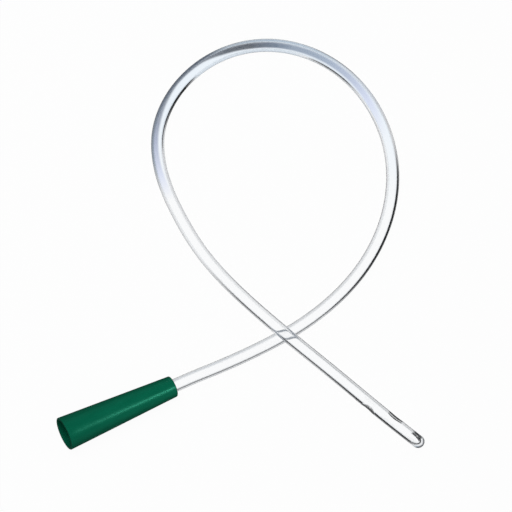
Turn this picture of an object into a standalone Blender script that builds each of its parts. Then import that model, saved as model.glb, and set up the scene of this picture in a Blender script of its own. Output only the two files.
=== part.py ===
"""Intermittent catheter for single use, 14 French, straight tip.

A clear flexible tube is bonded into a green moulded funnel. It lies on a flat surface in one loose
loop: the funnel on its side, the tube running out along +X, round to the left and back over itself.
Metres, +Z up. The surface is z = 0, and the origin is under the middle of the whole object.
"""

import math

import bmesh
import bpy
import numpy as np
from mathutils import Matrix, Vector

MM = 0.001

# Tube
TUBE_OUTER_DIAMETER = 4.67 * MM
TUBE_WALL = 0.8 * MM
TIP_NOSE = 3.0 * MM
TUBE_SIDES = 16
LUMEN_SIDES = 12
POINT_SPACING = 5.2 * MM
# Where the rings of a round end lie, in degrees from its foot towards its tip
DOME_RINGS = (25, 45, 62, 76, 86)

# Drainage eyes, each cut through one wall: how far its middle is from the tip, its length and
# width, and the side that it faces (+1 to the left as the tube runs towards its tip)
EYES = {
    "far_eye": (24.4 * MM, 5.4 * MM, 2.5 * MM, -1),
    "near_eye": (14.3 * MM, 6.0 * MM, 2.5 * MM, 1),
}
EYE_SIDES = 20
EYE_CUTTER_REACH = TUBE_OUTER_DIAMETER

# Funnel, a cone that widens from its neck to its mouth
FUNNEL_LENGTH = 43.4 * MM
MOUTH_DIAMETER = 12.2 * MM
NECK_DIAMETER = 7.8 * MM
FUNNEL_WALL = 1.05 * MM
RIM_ROUNDING = 0.15 * MM
NECK_CHAMFER = 0.35 * MM
SOCKET_DEPTH = 13.0 * MM
FLOW_BORE = 3.6 * MM
SHOULDER_THICKNESS = 0.8 * MM
CAVITY_TAPER = 2.2 * MM
FUNNEL_STEPS = 40

# Room between the tube and what it fits into or crosses
SOCKET_CLEARANCE = 0.3 * MM
CROSSING_GAP = 0.35 * MM

# Points closer than this become one, and an edge sharper than the angle is shaded as an edge.
MERGE_DISTANCE = 0.01 * MM
SHARP_ANGLE = math.radians(40)

# Where the neck ends, on the surface, and how far the tube then runs straight
NECK_END_X = -34.2 * MM
NECK_END_Y = -24.3 * MM
STRAIGHT_OUT = 8.0 * MM

# Route of the tube's middle line, chosen by hand: x and y in millimetres, then a height.
# In the first stretch the height is a share of how far the neck holds the tube off the surface.
NECK_RUN = (
    (-17.6, -24.5, 0.50),
    (-2.0, -24.4, 0.17),
    (13.2, -23.3, 0.02),
)
# In the loop it is a share of the rise that carries the tube over its own first stretch.
LOOP_RUN = (
    (28.2, -20.4, 0.0),
    (42.7, -15.0, 0.0),
    (55.8, -6.6, 0.0),
    (66.3, 4.7, 0.0),
    (73.1, 18.4, 0.0),
    (75.2, 33.5, 0.0),
    (72.4, 48.5, 0.0),
    (64.8, 61.7, 0.0),
    (53.1, 71.7, 0.0),
    (38.7, 77.0, 0.0),
    (23.2, 76.9, 0.0),
    (8.9, 71.4, 0.01),
    (-2.2, 60.8, 0.09),
    (-7.4, 46.2, 0.25),
    (-7.8, 30.6, 0.46),
    (-5.8, 15.5, 0.67),
    (-1.2, 0.9, 0.86),
    (5.0, -13.0, 0.97),
    (12.0, -26.6, 0.99),
    (19.5, -40.0, 0.76),
    (27.0, -53.3, 0.37),
    (34.5, -66.7, 0.06),
    (41.9, -79.7, 0.0),
)

TUBE_RADIUS = TUBE_OUTER_DIAMETER / 2
LUMEN_RADIUS = TUBE_RADIUS - TUBE_WALL
MOUTH_RADIUS = MOUTH_DIAMETER / 2
NECK_RADIUS = NECK_DIAMETER / 2
SOCKET_RADIUS = TUBE_RADIUS + SOCKET_CLEARANCE

# A cone on its side rests along its wall, so its axis climbs towards the mouth.
CONE_ANGLE = math.atan2(MOUTH_RADIUS - NECK_RADIUS, FUNNEL_LENGTH)
NECK_END = Vector((NECK_END_X, NECK_END_Y, NECK_RADIUS * math.cos(CONE_ANGLE)))
TO_MOUTH = Vector((-math.cos(CONE_ANGLE), 0, math.sin(CONE_ANGLE)))

NECK_RISE = NECK_END.z - TUBE_RADIUS
CROSSING_RISE = TUBE_OUTER_DIAMETER + CROSSING_GAP + NECK_RUN[-1][2] * NECK_RISE


def material(name, colour, roughness, transmission=0.0):
    made = bpy.data.materials.new(name)
    made.use_nodes = True
    shader = made.node_tree.nodes["Principled BSDF"]
    shader.inputs["Base Color"].default_value = (*colour, 1)
    shader.inputs["Roughness"].default_value = roughness
    shader.inputs["Metallic"].default_value = 0
    shader.inputs["IOR"].default_value = 1.53
    shader.inputs["Transmission Weight"].default_value = transmission
    return made


def place(obj, collection):
    """Puts an object in a collection. Cutters are helpers, so they show as wires and don't render."""
    collection.objects.link(obj)
    if collection.name == CUTTERS.name:
        obj.hide_render = True
        obj.display_type = "WIRE"
    return obj


def cut(obj, cutter):
    boolean = obj.modifiers.new(f"cut {cutter.name}", "BOOLEAN")
    boolean.operation = "DIFFERENCE"
    boolean.object = cutter


class SmoothPath:
    """The natural cubic spline through some stations, read by the distance along its chords."""

    def __init__(self, stations):
        self.stations = np.array(stations)
        legs = np.diff(self.stations, axis=0)
        self.steps = np.linalg.norm(legs, axis=1)
        self.starts = np.concatenate([[0], np.cumsum(self.steps)])
        self.length = float(self.starts[-1])
        slopes = legs / self.steps[:, None]
        count = len(self.stations)
        system = np.eye(count)
        right = np.zeros((count, 3))
        for i in range(1, count - 1):
            before, after = self.steps[i - 1 : i + 1]
            system[i, i - 1 : i + 2] = before, 2 * (before + after), after
            right[i] = 6 * (slopes[i] - slopes[i - 1])
        self.bends = np.linalg.solve(system, right)

    def at(self, distance):
        """The point at a distance. Before the start and past the end the path runs on straight."""
        i = int(np.clip(np.searchsorted(self.starts, distance) - 1, 0, len(self.steps) - 1))
        step = self.steps[i]
        near = min(max(distance, 0), self.length)
        b = (near - self.starts[i]) / step
        a = 1 - b
        bent = (a**3 - a) * self.bends[i] + (b**3 - b) * self.bends[i + 1]
        point = a * self.stations[i] + b * self.stations[i + 1] + bent * step**2 / 6
        return Vector(point) + self.heading(near) * (distance - near)

    def heading(self, distance):
        """The direction of travel at a distance."""
        i = int(np.clip(np.searchsorted(self.starts, distance) - 1, 0, len(self.steps) - 1))
        step = self.steps[i]
        b = (distance - self.starts[i]) / step
        a = 1 - b
        straight = (self.stations[i + 1] - self.stations[i]) / step
        bent = (3 * b**2 - 1) * self.bends[i + 1] - (3 * a**2 - 1) * self.bends[i]
        return Vector(straight + bent * step / 6).normalized()


def tube_path():
    """From the bottom of the socket, straight out of the neck, round the loop to the tip."""
    inside = SOCKET_DEPTH - SOCKET_CLEARANCE
    along_axis = (inside, inside / 2, 0, -STRAIGHT_OUT)
    stations = [NECK_END + TO_MOUTH * distance for distance in along_axis]
    for x, y, share in NECK_RUN:
        stations.append((x * MM, y * MM, TUBE_RADIUS + share * NECK_RISE))
    for x, y, share in LOOP_RUN:
        stations.append((x * MM, y * MM, TUBE_RADIUS + share * CROSSING_RISE))
    return SmoothPath(stations)


def rod_with_round_end(name, path, radius, start, end, sides, collection):
    """A solid rod along the path from start to end, with a dome at its end, as a mesh object."""
    body_end = end - radius
    count = round((body_end - start) / POINT_SPACING) + 1
    sections = [(distance, 1.0) for distance in np.linspace(start, body_end, count)]
    for degrees in DOME_RINGS:
        turn = math.radians(degrees)
        sections.append((body_end + radius * math.sin(turn), math.cos(turn)))

    curve = bpy.data.curves.new(name, "CURVE")
    curve.dimensions = "3D"
    curve.bevel_depth = radius
    curve.bevel_resolution = sides // 2 - 2
    curve.use_fill_caps = True
    spline = curve.splines.new("POLY")
    spline.points.add(len(sections) - 1)
    for point, (distance, share) in zip(spline.points, sections):
        point.co = (*path.at(distance), 1)
        point.radius = share
    guide = bpy.data.objects.new(f"{name} guide", curve)
    bpy.context.scene.collection.objects.link(guide)

    graph = bpy.context.evaluated_depsgraph_get()
    mesh = bpy.data.meshes.new_from_object(guide.evaluated_get(graph))
    mesh.name = name
    rod = bpy.data.objects.new(name, mesh)
    rod.matrix_world = guide.matrix_world
    bpy.data.objects.remove(guide)
    shell = bmesh.new()
    shell.from_mesh(mesh)
    bmesh.ops.remove_doubles(shell, verts=shell.verts, dist=MERGE_DISTANCE)
    bmesh.ops.recalc_face_normals(shell, faces=shell.faces)
    shell.to_mesh(mesh)
    shell.free()
    return place(rod, collection)


def eye_cutter(name, path, from_tip, length, width, side):
    """An oval plug that stands across one wall of the tube, from the lumen's middle outwards."""
    distance = path.length - from_tip
    heading = path.heading(distance)
    outward = (Vector((0, 0, side)).cross(heading)).normalized()
    reach = EYE_CUTTER_REACH
    mesh = bpy.data.meshes.new(name)
    plug = bmesh.new()
    bmesh.ops.create_cone(
        plug, cap_ends=True, segments=EYE_SIDES, radius1=0.5, radius2=0.5, depth=1
    )
    bmesh.ops.scale(plug, vec=(length, width, reach), verts=plug.verts)
    bmesh.ops.translate(plug, vec=(0, 0, reach / 2), verts=plug.verts)
    plug.to_mesh(mesh)
    plug.free()
    cutter = bpy.data.objects.new(name, mesh)
    across = outward.cross(heading)
    cutter.matrix_world = Matrix.Translation(path.at(distance)) @ Matrix(
        (heading, across, outward)
    ).transposed().to_4x4()
    return place(cutter, CUTTERS)


def make_tube():
    """The clear tube: hollow, closed at a round tip, with two drainage eyes behind it."""
    path = tube_path()
    tube = rod_with_round_end(
        "catheter_tube", path, TUBE_RADIUS, 0, path.length, TUBE_SIDES, PART
    )
    tube.data.materials.append(material("clear tube", (0.86, 0.93, 0.98), 0.08, 0.95))
    lumen = rod_with_round_end(
        "lumen",
        path,
        LUMEN_RADIUS,
        -TUBE_RADIUS,
        path.length - TIP_NOSE,
        LUMEN_SIDES,
        CUTTERS,
    )
    cut(tube, lumen)
    for name, (from_tip, length, width, side) in EYES.items():
        cut(tube, eye_cutter(name, path, from_tip, length, width, side))
    tube.data.shade_smooth()
    tube.data.set_sharp_from_angle(angle=SHARP_ANGLE)


def funnel_radius(height):
    """The funnel's outer radius at a height above its neck."""
    return NECK_RADIUS + height * math.tan(CONE_ANGLE)


def make_funnel():
    """The green funnel, turned about its own +Z with its neck at the origin and its mouth up."""
    wall_across = FUNNEL_WALL / math.cos(CONE_ANGLE)
    shoulder_top = SOCKET_DEPTH + SHOULDER_THICKNESS
    cavity_foot = shoulder_top + CAVITY_TAPER
    profile = (
        (MOUTH_RADIUS - RIM_ROUNDING, FUNNEL_LENGTH),
        (funnel_radius(FUNNEL_LENGTH - RIM_ROUNDING), FUNNEL_LENGTH - RIM_ROUNDING),
        (funnel_radius(NECK_CHAMFER), NECK_CHAMFER),
        (NECK_RADIUS - NECK_CHAMFER, 0),
        (SOCKET_RADIUS, 0),
        (SOCKET_RADIUS, SOCKET_DEPTH),
        (FLOW_BORE / 2, SOCKET_DEPTH),
        (FLOW_BORE / 2, shoulder_top),
        (funnel_radius(cavity_foot) - wall_across, cavity_foot),
        (MOUTH_RADIUS - wall_across, FUNNEL_LENGTH),
    )
    outline = bmesh.new()
    corners = [outline.verts.new((radius, 0, height)) for radius, height in profile]
    for first, second in zip(corners, corners[1:] + corners[:1]):
        outline.edges.new((first, second))
    mesh = bpy.data.meshes.new("drainage_funnel")
    outline.to_mesh(mesh)
    outline.free()
    mesh.materials.append(material("green moulding", (0.002, 0.11, 0.055), 0.32))

    funnel = place(bpy.data.objects.new("drainage_funnel", mesh), PART)
    screw = funnel.modifiers.new("turned", "SCREW")
    screw.axis = "Z"
    screw.steps = FUNNEL_STEPS
    screw.render_steps = FUNNEL_STEPS
    screw.use_smooth_shade = True
    screw.use_merge_vertices = True
    screw.merge_threshold = MERGE_DISTANCE
    funnel.location = NECK_END
    funnel.rotation_euler = (0, CONE_ANGLE - math.pi / 2, 0)


for old in list(bpy.data.objects):
    bpy.data.objects.remove(old)
PART = bpy.data.collections.new("intermittent catheter")
CUTTERS = bpy.data.collections.new("cutters")
for group in (PART, CUTTERS):
    bpy.context.scene.collection.children.link(group)

make_tube()
make_funnel()
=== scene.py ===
"""Intermittent catheter, 14 French: a clear soft tube bonded into a green drainage funnel.

It lies loose on a pale table in one loop, and the camera looks down on it. Metres, +Z up, in the
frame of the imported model: the table is z = 0 and the funnel's mouth points towards -X.
"""

import math

import bmesh
import bpy
import numpy as np
from mathutils import Matrix, Vector


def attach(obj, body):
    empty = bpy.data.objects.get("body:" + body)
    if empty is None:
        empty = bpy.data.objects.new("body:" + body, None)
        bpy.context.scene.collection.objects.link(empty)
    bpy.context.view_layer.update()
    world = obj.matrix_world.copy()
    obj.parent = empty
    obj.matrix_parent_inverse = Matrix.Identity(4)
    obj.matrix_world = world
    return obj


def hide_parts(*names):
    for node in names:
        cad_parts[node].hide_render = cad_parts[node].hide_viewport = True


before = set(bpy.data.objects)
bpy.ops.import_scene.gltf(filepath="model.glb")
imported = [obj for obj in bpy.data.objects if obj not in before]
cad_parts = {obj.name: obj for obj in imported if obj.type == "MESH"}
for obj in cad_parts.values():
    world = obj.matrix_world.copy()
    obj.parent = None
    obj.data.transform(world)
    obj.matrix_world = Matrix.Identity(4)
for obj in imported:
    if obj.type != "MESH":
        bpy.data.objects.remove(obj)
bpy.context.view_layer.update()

MM = 0.001
scene = bpy.context.scene
scene.view_settings.view_transform = "Standard"

# Camera
# A long lens from well above, leaning a little towards the funnel's mouth and turned so that the
# funnel runs up to the right across the picture.
CAMERA_TARGET = Vector((13.4, 6.5, 0.0)) * MM
CAMERA_DISTANCE = 1600 * MM
CAMERA_LEAN = math.radians(14.0)
CAMERA_TURN = math.radians(23.3)
PICTURE_WIDTH = 183.3 * MM
SENSOR_WIDTH = 36.0

to_camera = Vector((-math.sin(CAMERA_LEAN), 0, math.cos(CAMERA_LEAN)))
downhill = Vector((math.cos(CAMERA_LEAN), 0, math.sin(CAMERA_LEAN)))
across = Vector((0, 1, 0))
picture_right = downhill * math.cos(CAMERA_TURN) - across * math.sin(CAMERA_TURN)
picture_up = downhill * math.sin(CAMERA_TURN) + across * math.cos(CAMERA_TURN)


def facing(place, x, y, z):
    """A matrix that stands something at a place with its own axes along these directions."""
    return Matrix.Translation(place) @ Matrix((x, y, z)).transposed().to_4x4()


bpy.ops.object.camera_add()
camera = bpy.context.object
camera.name = "camera"
camera.matrix_world = facing(
    CAMERA_TARGET + to_camera * CAMERA_DISTANCE, picture_right, picture_up, to_camera
)
camera.data.sensor_width = SENSOR_WIDTH
camera.data.lens = SENSOR_WIDTH * CAMERA_DISTANCE / PICTURE_WIDTH
camera.data.clip_start = 0.01
scene.camera = camera

# Catheter tube
# One length of clear, faintly blue PVC, extruded with a single lumen. Its end is moulded shut to a
# round tip, and two drainage eyes are punched through the wall behind it, with softened rims.
TUBE_DIAMETER = 4.67 * MM
TUBE_WALL = 0.8 * MM
TIP_NOSE = 1.6 * MM
BORE_END_LENGTH = 3.7 * MM
TUBE_SIDES = 48
RING_SPACING = 1.2 * MM
LONGEST_RUN = 60 * MM
DOME_RINGS = 8
POLE_SCALE = 0.01
SMOOTH_BELOW = math.radians(40)

# How far each eye's middle is from the tip, its length and width, and its side (+1 is left)
EYES = (
    (24.4 * MM, 5.4 * MM, 2.5 * MM, -1),
    (14.3 * MM, 6.0 * MM, 1.7 * MM, 1),
)
# Each eye is cut in a window of the wall that reaches past the eye and some way around the tube.
EYE_MARGIN = 1.8 * MM
EYE_WINDOW_SIDES = 20
EYE_PATCH_RINGS = 3
EYE_RIM_ROUNDING = 0.16 * MM
EYE_RIM_SEGMENTS = 3
RIM_ANGLE = math.radians(35)

# Points closer than this are in one place, and points this near to a wall's radius are on it.
SAME_PLACE = 0.001 * MM
WALL_TOLERANCE = TUBE_WALL / 3

NECK_END = Vector((-34.2, -24.3, 3.895)) * MM
CONE_ANGLE = math.radians(2.902)
TO_MOUTH = Vector((-math.cos(CONE_ANGLE), 0, math.sin(CONE_ANGLE)))
CROSSING_GAP = 0.35 * MM

# The route of the tube's middle line, first by the distance from the neck's end into the socket,
# then by x and y in millimetres and a share of the height that the neck, and after it the
# crossing, holds the tube off the table.
SOCKET_RUN = (12.7, 6.35, 0.0, -8.0)
NECK_RUN = (
    (-17.6, -24.5, 0.50), (-2.0, -24.4, 0.17), (13.2, -23.3, 0.02),
)
LOOP_RUN = (
    (28.2, -20.4, 0.0), (42.7, -15.0, 0.0), (55.8, -6.6, 0.0), (66.3, 4.7, 0.0),
    (73.1, 18.4, 0.0), (75.2, 33.5, 0.0), (72.4, 48.5, 0.0), (64.8, 61.7, 0.0),
    (53.1, 71.7, 0.0), (38.7, 77.0, 0.0), (23.2, 76.9, 0.0), (8.9, 71.4, 0.01),
    (-2.2, 60.8, 0.09), (-7.4, 46.2, 0.25), (-7.8, 30.6, 0.46), (-5.8, 15.5, 0.67),
    (-1.2, 0.9, 0.86), (5.0, -13.0, 0.97), (12.0, -26.6, 0.99), (19.5, -40.0, 0.76),
    (27.0, -53.3, 0.37), (34.5, -66.7, 0.06), (41.9, -79.7, 0.0),
)

TUBE_RADIUS = TUBE_DIAMETER / 2
LUMEN_RADIUS = TUBE_RADIUS - TUBE_WALL
NECK_RISE = NECK_END.z - TUBE_RADIUS
CROSSING_RISE = TUBE_DIAMETER + CROSSING_GAP + NECK_RUN[-1][2] * NECK_RISE


class SmoothPath:
    """The natural cubic spline through some stations, read by the distance along its chords."""

    def __init__(self, stations):
        self.stations = np.array(stations)
        legs = np.diff(self.stations, axis=0)
        self.steps = np.linalg.norm(legs, axis=1)
        self.starts = np.concatenate([[0], np.cumsum(self.steps)])
        self.length = float(self.starts[-1])
        slopes = legs / self.steps[:, None]
        count = len(self.stations)
        system = np.eye(count)
        right = np.zeros((count, 3))
        for i in range(1, count - 1):
            before, after = self.steps[i - 1 : i + 1]
            system[i, i - 1 : i + 2] = before, 2 * (before + after), after
            right[i] = 6 * (slopes[i] - slopes[i - 1])
        self.bends = np.linalg.solve(system, right)

    def place(self, distance):
        """The point at a distance and the direction of travel there."""
        i = int(np.clip(np.searchsorted(self.starts, distance) - 1, 0, len(self.steps) - 1))
        step = self.steps[i]
        b = (distance - self.starts[i]) / step
        a = 1 - b
        bent = (a**3 - a) * self.bends[i] + (b**3 - b) * self.bends[i + 1]
        point = a * self.stations[i] + b * self.stations[i + 1] + bent * step**2 / 6
        turn = (3 * b**2 - 1) * self.bends[i + 1] - (3 * a**2 - 1) * self.bends[i]
        heading = (self.stations[i + 1] - self.stations[i]) / step + turn * step / 6
        return Vector(point), Vector(heading).normalized()


stations = [NECK_END + TO_MOUTH * distance * MM for distance in SOCKET_RUN]
stations += [(x * MM, y * MM, TUBE_RADIUS + share * NECK_RISE) for x, y, share in NECK_RUN]
stations += [(x * MM, y * MM, TUBE_RADIUS + share * CROSSING_RISE) for x, y, share in LOOP_RUN]
route = SmoothPath(stations)


def start_edit(obj):
    """Edit mode on one object, with nothing in it selected."""
    bpy.ops.object.select_all(action="DESELECT")
    obj.select_set(True)
    bpy.context.view_layer.objects.active = obj
    bpy.ops.object.mode_set(mode="EDIT")
    bpy.ops.mesh.select_mode(type="VERT")
    bpy.ops.mesh.select_all(action="DESELECT")


def pick(obj, kind, chosen):
    """Selects in edit mode the vertices, edges or faces that chosen says yes to, and only those."""
    shell = bmesh.from_edit_mesh(obj.data)
    bpy.ops.mesh.select_mode(type={"verts": "VERT", "edges": "EDGE", "faces": "FACE"}[kind])
    bpy.ops.mesh.select_all(action="DESELECT")
    for item in getattr(shell, kind):
        if chosen(item):
            item.select_set(True)
    shell.select_flush_mode()
    bmesh.update_edit_mesh(obj.data)


def push(step=(0, 0, 0), scale=1.0, axes=(0, 1, 1), centre=(0, 0, 0)):
    """Extrudes the selected ring by a step, then scales it on some axes about a centre."""
    bpy.ops.mesh.extrude_region_move(TRANSFORM_OT_translate={"value": step})
    if scale != 1.0:
        bpy.ops.transform.resize(
            value=[scale if on else 1 for on in axes], center_override=centre
        )


def run_wall(stops, dome_length, end):
    """Extrudes the selected ring along the straight tube through the stops to its rounded end."""
    here = 0.0
    for stop in (*stops, end - dome_length):
        push(step=(stop - here, 0, 0))
        here = stop
    reached = 1.0
    for ring in range(1, DOME_RINGS):
        turn = math.pi / 2 * ring / DOME_RINGS
        x = end - dome_length * (1 - math.sin(turn))
        push(step=(x - here, 0, 0), scale=math.cos(turn) / reached)
        here, reached = x, math.cos(turn)
    push(step=(end - here, 0, 0), scale=POLE_SCALE)
    bpy.ops.mesh.merge(type="CENTER")


# The tube is made straight along X, with its open end at x = 0, and bent along its route afterwards.
eye_windows = []
for from_tip, length, width, side in EYES:
    middle = route.length - from_tip
    reach = length / 2 + EYE_MARGIN
    eye_windows.append((middle, length, width, side, middle - reach, middle + reach))
stops = [edge for window in eye_windows for edge in window[4:]]
stops += list(np.arange(LONGEST_RUN, stops[0] - LONGEST_RUN / 4, LONGEST_RUN))
stops.sort()

bpy.ops.object.select_all(action="DESELECT")
bpy.ops.mesh.primitive_circle_add(
    vertices=TUBE_SIDES, radius=TUBE_RADIUS, rotation=(0, math.pi / 2, 0)
)
tube = bpy.context.object
tube.name = "clear_tube"
bpy.ops.object.transform_apply(location=False, rotation=True, scale=True)
start_edit(tube)
bpy.ops.mesh.select_all(action="SELECT")
run_wall(stops, TUBE_RADIUS, route.length)
pick(tube, "verts", lambda v: abs(v.co.x) < SAME_PLACE)
push(scale=LUMEN_RADIUS / TUBE_RADIUS)
run_wall(stops, BORE_END_LENGTH, route.length - TIP_NOSE)


def lengthwise(edge):
    """How long an edge is if it runs along the straight tube, and otherwise 0."""
    a, b = (v.co for v in edge.verts)
    return abs(a.x - b.x) if math.hypot(a.y - b.y, a.z - b.z) < SAME_PLACE else 0


shell = bmesh.from_edit_mesh(tube.data)
for run in sorted({round(lengthwise(edge), 6) for edge in shell.edges}):
    cuts = round(run / RING_SPACING) - 1
    if cuts > 0:
        pick(tube, "edges", lambda e: abs(lengthwise(e) - run) < 2 * SAME_PLACE)
        bpy.ops.mesh.subdivide(number_cuts=cuts)

window_half_turn = math.pi * EYE_WINDOW_SIDES / TUBE_SIDES


def on_wall(point, radius):
    """Whether a point of the straight tube is on its outer wall or on its bore, by their radius."""
    return abs(math.hypot(point.y, point.z) - radius) < WALL_TOLERANCE


def in_window(point, radius, side, low, high):
    """Whether a point of the wall of this radius lies in the window that an eye is cut in."""
    turn = math.atan2(point.z, side * point.y)
    return on_wall(point, radius) and low < point.x < high and abs(turn) < window_half_turn


def around_eye(edge, middle, reach):
    """Whether an edge is an open one that belongs to this eye's window."""
    return edge.is_boundary and abs(edge.verts[0].co.x - middle) < reach


for middle, length, width, side, low, high in eye_windows:
    for radius in (TUBE_RADIUS, LUMEN_RADIUS):
        pick(
            tube, "faces",
            lambda f: in_window(f.calc_center_median(), radius, side, low, high),
        )
        bpy.ops.mesh.delete(type="FACE")
        pick(
            tube, "edges",
            lambda e: around_eye(e, middle, high - low)
            and all(on_wall(v.co, radius) for v in e.verts),
        )
        bpy.ops.mesh.extrude_edges_move(TRANSFORM_OT_translate={"value": (0, 0, 0)})
        # The window's inner edge becomes the eye's oval, and the rings between them follow the wall.
        shell = bmesh.from_edit_mesh(tube.data)
        rim = [v for v in shell.verts if v.select]
        for v in rim:
            turn = math.atan2(v.co.z, side * v.co.y)
            phase = math.atan2(turn / window_half_turn, (v.co.x - middle) / ((high - low) / 2))
            x = middle + length / 2 * math.cos(phase)
            turn = math.asin(width / 2 * math.sin(phase) / radius)
            v.co = (x, side * radius * math.cos(turn), radius * math.sin(turn))
        rim_index = {v.index for v in rim}
        pick(tube, "edges", lambda e: sum(v.index in rim_index for v in e.verts) == 1)
        bpy.ops.mesh.subdivide(number_cuts=EYE_PATCH_RINGS)
        shell = bmesh.from_edit_mesh(tube.data)
        for v in [v for v in shell.verts if v.select]:
            v.co.yz = v.co.yz.normalized() * radius
        bmesh.update_edit_mesh(tube.data)
    pick(tube, "edges", lambda e: around_eye(e, middle, high - low))
    bpy.ops.mesh.bridge_edge_loops()
    pick(
        tube, "edges",
        lambda e: low < e.verts[0].co.x < high
        and e.calc_face_angle(0) > RIM_ANGLE
        and side * e.verts[0].co.y > 0,
    )
    bpy.ops.mesh.bevel(
        offset=EYE_RIM_ROUNDING, segments=EYE_RIM_SEGMENTS, profile=0.5, affect="EDGES"
    )

bpy.ops.mesh.select_all(action="SELECT")
bpy.ops.mesh.normals_make_consistent(inside=False)
bpy.ops.object.mode_set(mode="OBJECT")

# Each point keeps where it was in the straight tube, for what the extrusion left along it.
straight = [v.co.copy() for v in tube.data.vertices]
as_extruded = tube.data.attributes.new("as_extruded", "FLOAT_VECTOR", "POINT")
for value, point in zip(as_extruded.data, straight):
    value.vector = point / MM

# It also keeps where the surface is matt, and painted near black as a painted shade: the punched
# walls of the eyes, darkest at their outer rims, and one side of the moulded end of the bore.
PUNCHED_FROM = 0.02 * MM
FIRST_EYE_FADE = 0.6
bore_end = route.length - TIP_NOSE
matt_and_painted_shade = tube.data.attributes.new("matt_and_painted_shade", "FLOAT", "POINT")
for value, point in zip(matt_and_painted_shade.data, straight):
    depth = TUBE_RADIUS - math.hypot(point.y, point.z)
    if any(low < point.x < high for *_, low, high in eye_windows):
        punched = PUNCHED_FROM < depth < TUBE_WALL - PUNCHED_FROM
        fade = FIRST_EYE_FADE * depth / TUBE_WALL if point.x < eye_windows[1][4] else 0
        value.value = punched * (1 - fade)
    if depth > TUBE_WALL / 2 and bore_end - BORE_END_LENGTH < point.x < bore_end + PUNCHED_FROM:
        value.value = abs(point.z) < point.y

for v, point in zip(tube.data.vertices, straight):
    middle, heading = route.place(point.x)
    left = Vector((0, 0, 1)).cross(heading).normalized()
    v.co = middle + left * point.y + heading.cross(left) * point.z
bpy.ops.object.shade_smooth_by_angle(angle=SMOOTH_BELOW)

# Clear PVC shows a dark line along each side of its outline, where the wall bends the light away to
# the side; here that line is a painted shade in the PVC's colour, by how far the surface turns from
# the eye. The moulded end is solid, and a deeper painted shade darkens it around its outline. Each
# colour belongs to a share, from 0 where the surface faces the eye to 1 at its outline.
PVC_IOR = 1.53
OUTER_EDGE_SHADE = (
    (0.0, (1.0, 1.0, 1.0)), (0.26, (0.98, 0.985, 0.99)), (0.34, (0.70, 0.715, 0.73)),
    (0.56, (0.66, 0.675, 0.69)), (0.72, (0.78, 0.795, 0.81)), (1.0, (0.84, 0.855, 0.87)),
)
BORE_EDGE_SHADE = (
    (0.3, (1.0, 1.0, 1.0)), (0.55, (0.70, 0.72, 0.74)), (0.9, (0.50, 0.52, 0.55)),
)
TIP_EDGE_SHADE = (
    (0.0, (1.0, 1.0, 1.0)), (0.24, (0.97, 0.975, 0.98)), (0.32, (0.42, 0.43, 0.45)),
    (0.42, (0.06, 0.065, 0.07)), (1.0, (0.02, 0.022, 0.025)),
)
# The near black of the matt places is a painted shade.
MATT_PAINTED_SHADE = (0.01, 0.011, 0.012, 1.0)
MATT_ROUGHNESS = 0.5
LARGEST_ROUGHNESS = 0.03
PVC_BLUE = (0.70, 0.84, 1.0, 1.0)
PVC_DENSITY = 25.0
LINE_STRETCH = (0.04, 1.0, 1.0)
LINE_HEIGHT = 0.003 * MM
NOISE_RANGE = (0.3, 0.7)


def feed(tree, target, inputs):
    """Gives a shader node its inputs, each a number, a colour or another node's output."""
    for name, value in inputs.items():
        if isinstance(value, bpy.types.NodeSocket):
            tree.links.new(value, target.inputs[name])
        else:
            target.inputs[name].default_value = value


def node(tree, kind, inputs=None, **settings):
    """A new shader node of this kind, with its inputs and its settings."""
    made = tree.nodes.new(f"ShaderNode{kind}")
    for name, value in settings.items():
        setattr(made, name, value)
    feed(tree, made, inputs or {})
    return made


def number(tree, operation, *terms):
    """A number worked out from one, two or three others."""
    return node(tree, "Math", dict(enumerate(terms)), operation=operation).outputs["Value"]


def vector(tree, operation, *terms):
    """A vector worked out from one or two others."""
    made = node(tree, "VectorMath", dict(enumerate(terms)), operation=operation)
    return made.outputs["Vector"]


def measure(tree, operation, *terms):
    """The length of a vector, or the product of two."""
    return node(tree, "VectorMath", dict(enumerate(terms)), operation=operation).outputs["Value"]


def between(tree, value, start, end, levels=(0.0, 1.0), soft=False):
    """A number that goes from one level to the other while the value goes from start to end."""
    made = node(
        tree, "MapRange",
        {"Value": value, "From Min": start, "From Max": end, "To Min": levels[0],
         "To Max": levels[1]},
        interpolation_type="SMOOTHSTEP" if soft else "LINEAR",
    )
    return made.outputs["Result"]


def mix(tree, share, first, second):
    """A colour that goes from the first to the second as the share goes from 0 to 1."""
    made = node(tree, "MixRGB", {"Fac": share, "Color1": first, "Color2": second})
    return made.outputs["Color"]


def mix_shaders(tree, share, first, second):
    """A surface that goes from the first to the second as the share goes from 0 to 1."""
    return node(tree, "MixShader", {"Fac": share, 1: first, 2: second}).outputs["Shader"]


def ramp(tree, value, stops):
    """The colour, or the grey, that the stops give a value."""
    made = node(tree, "ValToRGB", {"Fac": value})
    while len(made.color_ramp.elements) < len(stops):
        made.color_ramp.elements.new(0.5)
    for element, (position, colour) in zip(made.color_ramp.elements, stops):
        element.position = position
        element.color = (colour, colour, colour, 1) if isinstance(colour, float) else (*colour, 1)
    return made.outputs["Color"]


def noise(tree, way, scale, detail):
    """Soft noise along some coordinates."""
    return node(tree, "TexNoise", {"Vector": way, "Scale": scale, "Detail": detail}).outputs["Fac"]


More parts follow.
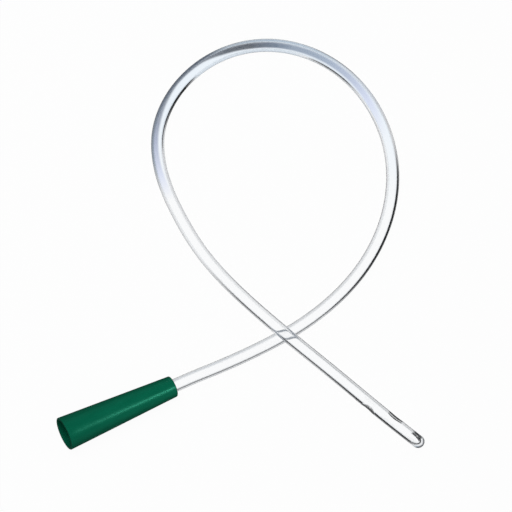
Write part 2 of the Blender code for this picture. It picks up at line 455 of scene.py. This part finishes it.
pvc = bpy.data.materials.new("clear soft PVC")
pvc.use_nodes = True
tree = pvc.node_tree
along = node(tree, "Attribute", attribute_name="as_extruded").outputs["Vector"]
from_start = node(tree, "SeparateXYZ", {"Vector": along}).outputs["X"]
from_axis = measure(tree, "LENGTH", vector(tree, "MULTIPLY", along, (0, 1, 1)))
outer_wall = number(tree, "GREATER_THAN", from_axis, (TUBE_RADIUS + LUMEN_RADIUS) / 2 / MM)
past_bore = number(tree, "GREATER_THAN", from_start, (bore_end + PUNCHED_FROM) / MM)
outside = number(tree, "MAXIMUM", outer_wall, past_bore)
on_tip = between(
    tree, from_start, (route.length - TUBE_RADIUS) / MM, (route.length - TUBE_RADIUS * 0.7) / MM
)
# The dark lines along the outline are a painted shade in the PVC's colour.
outline = node(tree, "LayerWeight", {"Blend": 0.5}).outputs["Facing"]
outer_edge_shade = mix(tree, on_tip, ramp(tree, outline, OUTER_EDGE_SHADE), ramp(tree, outline, TIP_EDGE_SHADE))
clear = mix(tree, outside, ramp(tree, outline, BORE_EDGE_SHADE), outer_edge_shade)
# The matt places are rough and opaque, and painted near black as a painted shade.
matt_and_shade = node(tree, "Attribute", attribute_name="matt_and_painted_shade").outputs["Fac"]
clear = mix(tree, matt_and_shade, clear, MATT_PAINTED_SHADE)

# Fine lines from the extrusion run along it.
stretched = node(tree, "Mapping", {"Vector": along, "Scale": LINE_STRETCH}).outputs["Vector"]
lines = noise(tree, stretched, scale=3.0, detail=3.0)
roughness = between(tree, lines, *NOISE_RANGE, (0.0, LARGEST_ROUGHNESS))
ripple = node(tree, "Bump", {"Height": lines, "Strength": 0.1, "Distance": LINE_HEIGHT})
shader = tree.nodes["Principled BSDF"]
feed(tree, shader, {
    "IOR": PVC_IOR,
    "Base Color": clear,
    "Transmission Weight": between(tree, matt_and_shade, 0.0, 1.0, (1.0, 0.0)),
    "Roughness": number(tree, "MULTIPLY_ADD", matt_and_shade, MATT_ROUGHNESS, roughness),
    "Normal": ripple.outputs["Normal"],
})

# Lamps shine through the clear tube, so its shadow is only a pair of soft lines on the table.
shadow_ray = node(tree, "LightPath").outputs["Is Shadow Ray"]
thin_shade = node(tree, "BsdfTransparent", {"Color": clear})
surface = mix_shaders(tree, shadow_ray, shader.outputs["BSDF"], thin_shade.outputs["BSDF"])
tint = node(tree, "VolumeAbsorption", {"Color": PVC_BLUE, "Density": PVC_DENSITY})
feed(tree, tree.nodes["Material Output"], {"Surface": surface, "Volume": tint.outputs["Volume"]})
tube.data.materials.append(pvc)

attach(tube, "root")
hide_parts("catheter_tube")

# Drainage funnel
# One moulding in opaque green PVC with a satin surface: a cone with a rounded rim, open at its
# mouth for a drainage connector. The tube is solvent bonded into the socket in its neck.
FUNNEL_LENGTH = 43.4 * MM
MOUTH_RADIUS = 6.1 * MM
NECK_RADIUS = 3.9 * MM
FUNNEL_WALL = 1.05 * MM
SOCKET_DEPTH = 13.0 * MM
SHOULDER_THICKNESS = 0.8 * MM
CAVITY_TAPER = 2.2 * MM
FLOW_BORE_RADIUS = 1.8 * MM
BOND_GAP = 0.02 * MM
FUNNEL_SIDES = 96
WALL_RINGS = 12
NECK_ROUNDING = 0.45 * MM
RIM_ROUNDING = 0.30 * MM
INNER_ROUNDING = 0.5 * MM
ROUNDING_SEGMENTS = 4

# The funnel's outline from the lip of its socket, over the outside and back through the cavity
cone_slope = (MOUTH_RADIUS - NECK_RADIUS) / FUNNEL_LENGTH
wall_across = FUNNEL_WALL / math.cos(CONE_ANGLE)
shoulder_top = SOCKET_DEPTH + SHOULDER_THICKNESS
cavity_foot = shoulder_top + CAVITY_TAPER
socket_radius = TUBE_RADIUS + BOND_GAP
neck_edge = (NECK_RADIUS, 0.0)
rim_outside = (MOUTH_RADIUS, FUNNEL_LENGTH)
rim_inside = (MOUTH_RADIUS - wall_across, FUNNEL_LENGTH)
cavity_edge = (NECK_RADIUS + cavity_foot * cone_slope - wall_across, cavity_foot)
shoulder_edge = (FLOW_BORE_RADIUS, shoulder_top)
profile = (
    (socket_radius, 0.0), neck_edge, rim_outside, rim_inside, cavity_edge, shoulder_edge,
    (FLOW_BORE_RADIUS, SOCKET_DEPTH), (socket_radius, SOCKET_DEPTH),
)

# It is made upright on its neck, one ring after the other along its profile.
bpy.ops.object.select_all(action="DESELECT")
bpy.ops.mesh.primitive_circle_add(vertices=FUNNEL_SIDES, radius=socket_radius)
funnel = bpy.context.object
funnel.name = "green_funnel"
start_edit(funnel)
bpy.ops.mesh.select_all(action="SELECT")
for (radius, height), (next_radius, next_height) in zip(profile, profile[1:]):
    push(
        step=(0, 0, next_height - height), scale=next_radius / radius, axes=(1, 1, 0),
        centre=(0, 0, next_height),
    )
pick(funnel, "edges", lambda e: e.is_boundary)
bpy.ops.mesh.bridge_edge_loops()
bpy.ops.mesh.select_all(action="SELECT")
bpy.ops.mesh.normals_make_consistent(inside=False)


def on_ring(edge, radius, height):
    """Whether an edge lies on the ring of the upright funnel with this radius and height."""
    return all(
        abs(v.co.xy.length - radius) < SAME_PLACE and abs(v.co.z - height) < SAME_PLACE
        for v in edge.verts
    )


for ring, rounding in (
    (neck_edge, NECK_ROUNDING), (rim_outside, RIM_ROUNDING), (rim_inside, RIM_ROUNDING),
    (cavity_edge, INNER_ROUNDING), (shoulder_edge, INNER_ROUNDING / 2),
):
    pick(funnel, "edges", lambda e: on_ring(e, *ring))
    bpy.ops.mesh.bevel(offset=rounding, segments=ROUNDING_SEGMENTS, profile=0.5, affect="EDGES")
long_wall = FUNNEL_LENGTH / 2
pick(funnel, "edges", lambda e: abs(e.verts[0].co.z - e.verts[1].co.z) > long_wall)
bpy.ops.mesh.subdivide(number_cuts=WALL_RINGS)
bpy.ops.object.mode_set(mode="OBJECT")
funnel.location = NECK_END
funnel.rotation_euler = (0, CONE_ANGLE - math.pi / 2, 0)
bpy.ops.object.transform_apply(location=True, rotation=True, scale=True)
bpy.ops.object.shade_smooth_by_angle(angle=SMOOTH_BELOW)

DEEP_GREEN = (0.0008, 0.104, 0.053)
LIGHTER_GREEN = (0.0016, 0.120, 0.062)
SATIN = (0.28, 0.32)
GREEN_SHEEN = (0.15, 1.0, 0.67, 1.0)
SHEEN_LEVEL = 0.4
FLOW_STRETCH = (250.0, 900.0, 900.0)
SKIN_HEIGHT = 0.03 * MM

moulded = bpy.data.materials.new("green satin PVC")
moulded.use_nodes = True
tree = moulded.node_tree
place = node(tree, "TexCoord").outputs["Object"]
flow = node(tree, "Mapping", {"Vector": place, "Scale": FLOW_STRETCH}).outputs["Vector"]
flow_lines = noise(tree, flow, scale=0.6, detail=4.0)
green = ramp(tree, flow_lines, list(zip(NOISE_RANGE, (DEEP_GREEN, LIGHTER_GREEN))))
skin = noise(tree, place, scale=1800.0, detail=3.0)
texture = node(tree, "Bump", {"Height": skin, "Strength": 0.25, "Distance": SKIN_HEIGHT})
feed(tree, tree.nodes["Principled BSDF"], {
    "Base Color": green,
    "Roughness": between(tree, flow_lines, *NOISE_RANGE, SATIN),
    "Normal": texture.outputs["Normal"],
    "IOR": PVC_IOR,
    "Specular IOR Level": SHEEN_LEVEL,
    "Specular Tint": GREEN_SHEEN,
})
funnel.data.materials.append(moulded)

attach(funnel, "root")
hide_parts("drainage_funnel")

# Table
# A pale seamless table of glass with a round white sheet on it under the loop. The sheet shines
# through the tube's bore, and painted shades at its rim and around it darken bands and lines in the
# tube. Only rays through the tube see the sheet's rim and the shades.
TABLE_SIZE = 6.0
TABLE_DROP = 0.01 * MM
WHITE = (1.0, 1.0, 1.0, 1.0)
TABLE_SEEN = 0.96
TABLE_LIT = (0.93, 0.93, 0.93, 1.0)
TABLE_IN_BOUNCES = (0.45, 0.45, 0.45, 1.0)
TABLE_IN_GLOSS = (0.06, 0.07, 0.07, 1.0)

# All that follows is laid out as the picture shows it, in millimetres to the right and up from its
# middle, and in degrees around a middle, clockwise from the picture's top.
# The sheet's middle and reach, where its rim of painted shade begins and ends as shares of that
# reach, and the painted shade that the rim shows through the bore around the loop
SHEET_MIDDLE = (3.4, 40.3)
SHEET_REACH = (40.6, 35.3)
RIM_BEGINS = (0.955, 0.995)
RIM_ENDS = (1.030, 1.110)
RIM_PAINTED_SHADES = (
    (-180, 1.0), (-125, 1.0), (-110, (0.72, 0.77, 0.92)), (-90, (0.40, 0.45, 0.60)),
    (-75, (0.24, 0.28, 0.36)), (-60, (0.20, 0.23, 0.28)), (-37, (0.16, 0.19, 0.24)),
    (-20, (0.03, 0.05, 0.08)), (-8, (0.02, 0.035, 0.06)), (5, (0.10, 0.15, 0.23)),
    (14, (0.24, 0.31, 0.41)), (30, (0.30, 0.38, 0.50)), (47, (0.45, 0.52, 0.68)),
    (65, (0.68, 0.74, 0.92)), (88, (0.92, 0.96, 1.0)), (100, 1.0), (180, 1.0),
)
# How much nearer to the middle the painted rim begins, as a share of the reach
RIM_SHIFTS = (
    (-180, 0.0), (-120, 0.04), (-100, 0.037), (-78, 0.027), (-62, 0.004), (-52, -0.018),
    (-34, -0.028), (-22, 0.0), (-8, 0.01), (5, 0.002), (30, 0.0), (180, 0.0),
)
LARGEST_SHIFT = 0.05
# A painted cool shade turns the sheet a little blue from one height to the other, as shares of its
# reach.
SHEET_PAINTED_COOL_SHADE = (0.87, 0.935, 1.0, 1.0)
SHEET_COOL_SHADE_FROM = (-0.7, 0.3)

# The painted shade that the wall shows past the rim, and the painted shade that it shows inside it,
# and where the wall sees the white sheet and nothing of the cards below the table
WALL_PAINTED_SHADES = (
    (-180, 1.0), (-120, 0.95), (-100, (0.38, 0.43, 0.49)), (-60, (0.20, 0.23, 0.28)),
    (-30, (0.19, 0.22, 0.27)), (-18, (0.66, 0.72, 0.78)), (10, (0.76, 0.83, 0.9)),
    (60, (0.8, 0.84, 0.9)), (80, 0.9), (95, 1.0), (180, 1.0),
)
SHEET_PAINTED_SHADES = (
    (-180, 1.0), (-84, 1.0), (-74, 0.3), (-66, 0.06), (-52, 0.05), (-46, 0.6), (-43, 1.0),
    (180, 1.0),
)
SHEET_SIDE = ((-180, 0.0), (-45, 0.0), (-40, 1.0), (16, 1.0), (21, 0.0), (180, 0.0))

# A strip of painted shade along the outside of the loop's right: its own middle, where it begins,
# its shades
STRIP_MIDDLE = (-13.2, 31.3)
STRIP_BEGINS = (62.6, 63.4)
STRIP_PAINTED_SHADES = (
    (-180, 1.0), (80, 1.0), (87, 0.5), (92, 0.2), (98, 0.06), (123, 0.05), (131, 0.3),
    (138, 0.7), (144, 1.0), (180, 1.0),
)

# A strip of painted shade along the lower left of the tip: a point of its edge, the turn that it
# runs at, how far beside that line it begins, how far along it turns dark, and its shade there
TIP_STRIP_START = (22.9, -38.0)
TIP_STRIP_TURN = math.radians(129.5)
TIP_STRIP_BEGINS = (0.6, 1.4)
TIP_STRIP_FADE = (0.0, 18.0)
TIP_STRIP_PAINTED_SHADE = (0.25, 0.25, 0.25, 1.0)

# A ray through the wall alone crosses two surfaces of the tube, one through the bore four, and one
# through the wall of one length and the bore of the other six.
WALL_SURFACES = 2
CROSSED_SURFACES = 6
# Where a ray has crossed both lengths, the table shows it a painted shade.
CROSSED_PAINTED_SHADE = (0.30, 0.33, 0.37, 1.0)

into_picture = Matrix((picture_right, picture_up, to_camera))


def by_turn(tree, way, stops):
    """Shades around a middle, read by how far to the right and up of it a point is."""
    parts = node(tree, "SeparateXYZ", {"Vector": way}).outputs
    turn = number(tree, "ARCTAN2", parts["X"], parts["Y"])
    share = between(tree, turn, -math.pi, math.pi)
    return ramp(tree, share, [(degrees / 360 + 0.5, colour) for degrees, colour in stops])


bpy.ops.mesh.primitive_plane_add(size=TABLE_SIZE, location=(0, 0, -TABLE_DROP))
table = bpy.context.object
table.name = "table"
bpy.ops.object.transform_apply(location=True, rotation=False, scale=False)
paper = bpy.data.materials.new("white table with painted shades")
paper.use_nodes = True
tree = paper.node_tree
tree.nodes.remove(tree.nodes["Principled BSDF"])
ray = node(tree, "LightPath").outputs
through_tube = ray["Is Transmission Ray"]
surfaces = ray["Transmission Depth"]

# Lamps light the table, which is grey to light that bounces off it and dark in reflections; to the
# camera it is plain white, and through the tube it is white with the painted shades set below.
lit_colour = mix(tree, ray["Is Diffuse Ray"], TABLE_LIT, TABLE_IN_BOUNCES)
lit_colour = mix(tree, ray["Is Glossy Ray"], lit_colour, TABLE_IN_GLOSS)
lit = node(tree, "BsdfDiffuse", {"Color": lit_colour}).outputs["BSDF"]
white_share = number(tree, "MULTIPLY_ADD", ray["Is Camera Ray"], TABLE_SEEN, through_tube)

# Where a point is in the picture, and how far out from the sheet's middle
place = node(tree, "TexCoord").outputs["Object"]
turned = node(
    tree, "Mapping",
    {"Vector": place, "Rotation": into_picture.to_euler(),
     "Location": -(into_picture @ CAMERA_TARGET)},
)
in_picture = vector(tree, "MULTIPLY", turned.outputs["Vector"], (1 / MM, 1 / MM, 0))
sheet_way = vector(tree, "SUBTRACT", in_picture, (*SHEET_MIDDLE, 0))
sheet_way = vector(tree, "DIVIDE", sheet_way, (*SHEET_REACH, 1))
sheet_reach = measure(tree, "LENGTH", sheet_way)

# What shows through the bore: the sheet, the painted shade of its rim, and a painted shade for the
# other length's edge at the crossing
shift = by_turn(
    tree, sheet_way, [(turn, 0.5 + share / LARGEST_SHIFT / 2) for turn, share in RIM_SHIFTS]
)
shift = between(tree, shift, 0.0, 1.0, (-LARGEST_SHIFT, LARGEST_SHIFT))
rim_begins = between(tree, number(tree, "ADD", sheet_reach, shift), *RIM_BEGINS, soft=True)
rim_ends = between(tree, sheet_reach, *RIM_ENDS, (1.0, 0.0), soft=True)
on_painted_rim = number(tree, "MULTIPLY", rim_begins, rim_ends)
sheet_up = node(tree, "SeparateXYZ", {"Vector": sheet_way}).outputs["Y"]
sheet_with_cool_shade = mix(tree, between(tree, sheet_up, *SHEET_COOL_SHADE_FROM), WHITE, SHEET_PAINTED_COOL_SHADE)
through_bore = mix(tree, on_painted_rim, sheet_with_cool_shade, by_turn(tree, sheet_way, RIM_PAINTED_SHADES))
crossed = number(tree, "COMPARE", surfaces, CROSSED_SURFACES, 0.5)
through_bore = mix(tree, crossed, through_bore, CROSSED_PAINTED_SHADE)
seen_colour = mix(tree, through_tube, WHITE, through_bore)
white = node(tree, "Emission", {"Color": seen_colour, "Strength": 1.0}).outputs["Emission"]
plain = mix_shaders(tree, white_share, lit, white)

# What shows through the wall: the painted shade cards below the table, darkened by shades on it
past_rim = between(tree, sheet_reach, *RIM_BEGINS, soft=True)
through_wall = mix(
    tree, past_rim, by_turn(tree, sheet_way, SHEET_PAINTED_SHADES), by_turn(tree, sheet_way, WALL_PAINTED_SHADES)
)
# Strips of painted shade darken the wall's rays beside the loop's right and beside the tip.
strip_way = vector(tree, "SUBTRACT", in_picture, (*STRIP_MIDDLE, 0))
on_strip = between(tree, measure(tree, "LENGTH", strip_way), *STRIP_BEGINS, soft=True)
beside_loop = mix(tree, on_strip, WHITE, by_turn(tree, strip_way, STRIP_PAINTED_SHADES))
tip_way = vector(tree, "SUBTRACT", in_picture, (*TIP_STRIP_START, 0))
tip_onward = (math.sin(TIP_STRIP_TURN), math.cos(TIP_STRIP_TURN), 0)
tip_aside = (math.cos(TIP_STRIP_TURN), -math.sin(TIP_STRIP_TURN), 0)
beside = measure(tree, "DOT_PRODUCT", tip_way, tip_aside)
beside = between(tree, beside, *TIP_STRIP_BEGINS, soft=True)
onward = measure(tree, "DOT_PRODUCT", tip_way, tip_onward)
onward = between(tree, onward, *TIP_STRIP_FADE)
beside_tip = mix(tree, number(tree, "MULTIPLY", beside, onward), WHITE, TIP_STRIP_PAINTED_SHADE)
through_wall = vector(tree, "MULTIPLY", through_wall, beside_loop)
through_wall = vector(tree, "MULTIPLY", through_wall, beside_tip)
below = node(tree, "BsdfTransparent", {"Color": through_wall}).outputs["BSDF"]

# The wall's rays pass through the table, except where they see the sheet.
in_wall = number(tree, "LESS_THAN", surfaces, WALL_SURFACES + 0.5)
in_wall = number(tree, "MULTIPLY", in_wall, through_tube)
on_sheet = number(tree, "SUBTRACT", 1.0, past_rim)
on_sheet = number(tree, "MULTIPLY", on_sheet, by_turn(tree, sheet_way, SHEET_SIDE))
in_wall = number(tree, "MULTIPLY", in_wall, number(tree, "SUBTRACT", 1.0, on_sheet))
surface = mix_shaders(tree, in_wall, plain, below)
feed(tree, tree.nodes["Material Output"], {"Surface": surface})
table.data.materials.append(paper)

# Surroundings
# A plain soft white room, which is dark where glossy surfaces mirror it. Below the glass table it
# has cards of painted shade all around, dark and pale, which only the tube's wall picks up.
SKY = (0.92, 0.96, 1.0, 1.0)
SKY_LEVEL = 0.3
DARK_ROOM = (0.25, 0.27, 0.30, 1.0)

# The painted shade cards nearest to straight down and those around them, by their turn in the
# picture
LOW_PAINTED_CARDS = (
    (-180, 1.0), (-160, 1.0), (-150, 0.5), (-138, 0.5), (-130, 0.9), (30, 0.9), (70, 0.85),
    (140, 0.85), (150, 0.85), (166, 1.0), (180, 1.0),
)
PAINTED_CARDS = (
    (-180, 1.0), (-165, 1.0), (-160, 0.2), (-153, 0.08), (-140, 0.08), (-136, 0.45),
    (-130, 0.9), (-124, 1.0), (-60, 0.95), (-25, 0.8), (4, (0.7, 0.77, 0.83)),
    (30, (0.75, 0.82, 0.87)), (40, 0.95), (60, 0.85), (78, 0.75), (84, 0.2), (90, 0.02),
    (97, 0.003), (124, 0.003), (131, 0.04), (137, 0.2), (144, 0.3), (158, 0.21), (165, 1.0),
    (180, 1.0),
)
# Where the painted shade cards begin, meet and end, by their lean from straight down
PAINTED_CARDS_BEGIN = (math.radians(0.5), math.radians(3.0))
PAINTED_CARDS_MEET = (math.radians(26.0), math.radians(34.0))
PAINTED_CARDS_END = (math.radians(76.0), math.radians(82.0))

world = bpy.data.worlds.new("soft white surroundings with painted shade cards")
scene.world = world
world.use_nodes = True
tree = world.node_tree
ray = node(tree, "LightPath").outputs
sky = tree.nodes["Background"]
feed(tree, sky, {"Color": SKY, "Strength": SKY_LEVEL})
dark_room = node(tree, "Background", {"Color": DARK_ROOM, "Strength": 1.0})
lighting = mix_shaders(
    tree, ray["Is Glossy Ray"], sky.outputs["Background"], dark_room.outputs["Background"]
)

direction = node(tree, "TexCoord").outputs["Generated"]
turned = node(tree, "Mapping", {"Vector": direction, "Rotation": into_picture.to_euler()})
way = turned.outputs["Vector"]
upwards = node(tree, "SeparateXYZ", {"Vector": way}).outputs["Z"]
lean = number(tree, "ARCCOSINE", number(tree, "MULTIPLY", upwards, -1.0))
painted_cards = mix(
    tree, between(tree, lean, *PAINTED_CARDS_MEET, soft=True), by_turn(tree, way, LOW_PAINTED_CARDS),
    by_turn(tree, way, PAINTED_CARDS),
)
on_painted_card = number(
    tree, "MULTIPLY", between(tree, lean, *PAINTED_CARDS_BEGIN, soft=True),
    between(tree, lean, *PAINTED_CARDS_END, (1.0, 0.0), soft=True),
)
seen_room = node(tree, "Background", {"Color": mix(tree, on_painted_card, WHITE, painted_cards), "Strength": 1.0})
seen = number(tree, "MAXIMUM", ray["Is Camera Ray"], ray["Is Transmission Ray"])
either = mix_shaders(tree, seen, lighting, seen_room.outputs["Background"])
feed(tree, tree.nodes["World Output"], {"Surface": either})

# Lamps
# A large soft lamp overhead lights everything. A small strip close to the funnel lights nothing
# else and draws the bright stripe along it.
OVERHEAD_TURN = math.radians(-22)
OVERHEAD_LEAN = math.radians(20)
OVERHEAD_DISTANCE = 1.2
OVERHEAD_SIZE = (0.6, 0.6)
OVERHEAD_LEVEL = 0.45
STRIP_LAMP_DISTANCE = 160 * MM
STRIP_LAMP_SIZE = (60 * MM, 32 * MM)
STRIP_LAMP_LEVEL = 0.30
# How far the funnel's bright stripe lies around it from its top, towards the near side
STRIPE_TURN = math.radians(9.0)


def soft_lamp(name, at, way, distance, size, level, along):
    """A soft lamp that shines on a point from one way, at a level that 1 is full light for."""
    bpy.ops.object.light_add(type="AREA")
    lamp = bpy.context.object
    lamp.name = name
    lamp.data.shape = "RECTANGLE"
    lamp.data.size, lamp.data.size_y = size
    lamp.data.energy = level * (math.pi * distance) ** 2
    x = (along - way * along.dot(way)).normalized()
    lamp.matrix_world = facing(at + way * distance, x, way.cross(x), way)
    lamp.visible_transmission = False
    return lamp


overhead_side = picture_up * math.cos(OVERHEAD_TURN) + picture_right * math.sin(OVERHEAD_TURN)
overhead = soft_lamp(
    "overhead lamp", CAMERA_TARGET,
    to_camera * math.cos(OVERHEAD_LEAN) + overhead_side * math.sin(OVERHEAD_LEAN),
    OVERHEAD_DISTANCE, OVERHEAD_SIZE, OVERHEAD_LEVEL, picture_right,
)
overhead.visible_glossy = False

# The strip is where the stripe's line on the cone mirrors it into the camera.
cone_top = Vector((math.sin(2 * CONE_ANGLE), 0, math.cos(2 * CONE_ANGLE)))
stripe_side = cone_top * math.cos(STRIPE_TURN) - across * math.sin(STRIPE_TURN)
strip = soft_lamp(
    "strip lamp", NECK_END + stripe_side * NECK_RADIUS,
    stripe_side * 2 * stripe_side.dot(to_camera) - to_camera,
    STRIP_LAMP_DISTANCE, STRIP_LAMP_SIZE, STRIP_LAMP_LEVEL, Vector((1, 0, 0)),
)
lit_by_strip = bpy.data.collections.new("lit by the strip lamp")
lit_by_strip.objects.link(funnel)
strip.light_linking.receiver_collection = lit_by_strip
